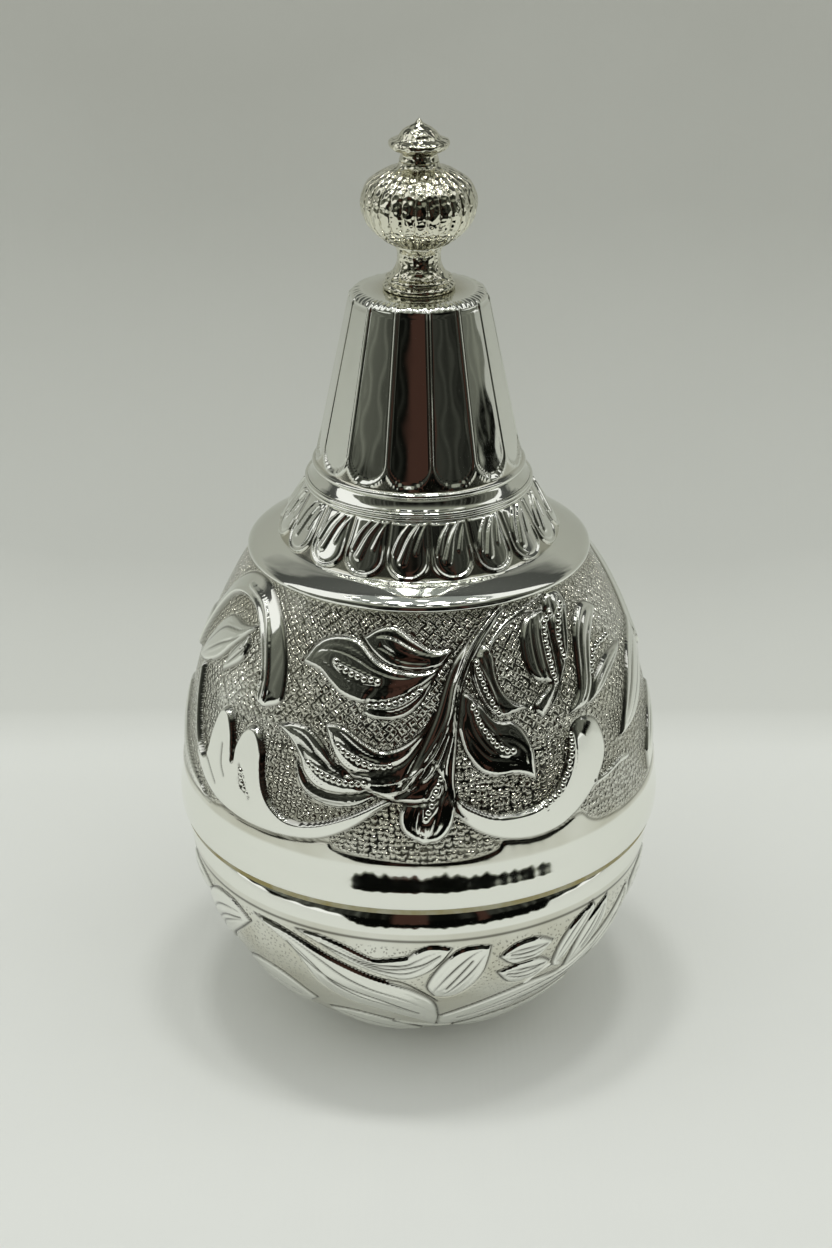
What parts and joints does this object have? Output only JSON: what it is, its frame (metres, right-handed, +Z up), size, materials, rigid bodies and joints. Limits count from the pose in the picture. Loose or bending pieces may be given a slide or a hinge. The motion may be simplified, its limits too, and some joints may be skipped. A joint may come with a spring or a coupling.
{
  "type": "lidded ornamental box",
  "caption": "Round-bottomed metal box shaped like a bottle gourd, with a tall domed lift-off lid, tongued neck and turned finial, embossed all over with leaf scrolls.",
  "frame": {"origin": "centre of the flat under the bowl", "axes": "+Z up the box's axis to the finial's tip, -Y towards the viewer"},
  "size_m": [0.0794, 0.0794, 0.1524],
  "materials": {
    "bowl_silver": "bright silver plate over brass, embossed and hand burnished",
    "collar_silver": "bright silver plate, plain turned sleeve",
    "dome_silver": "bright silver plate over brass, embossed and chased leaf scrolls on a matted ground",
    "rim_brass": "worn silver plate with the brass showing through",
    "gadroon_silver": "bright silver plate, chased lobes",
    "ring_silver": "bright silver plate, drawn wire",
    "neck_silver": "bright silver plate, chased flat tongues",
    "foot_silver": "bright silver plate, turned",
    "ball_silver": "bright silver plate, chased ribs with small hammer marks",
    "cap_silver": "bright silver plate, turned",
    "stud_brass": "plain drawn rod, threaded",
    "washer_brass": "plain stamped",
    "nut_steel": "plain"
  },
  "bodies": {
    "bowl": {"bowl_shell": "bowl_silver", "bowl_collar": "collar_silver"},
    "lid": {"lid_dome": "dome_silver", "lid_rim_ring": "rim_brass", "gadroon_collar": "gadroon_silver", "neck_ring": "ring_silver", "fluted_neck": "neck_silver", "finial_foot": "foot_silver", "finial_ball": "ball_silver", "finial_cap": "cap_silver", "finial_stud": "stud_brass", "finial_washer": "washer_brass", "finial_nut": "nut_steel"}
  },
  "joints": [
    {"name": "lid_lift", "type": "slide", "parent": "bowl", "child": "lid", "axis": [0, 0, 1], "range_m": [0, 0.06]}
  ]
}
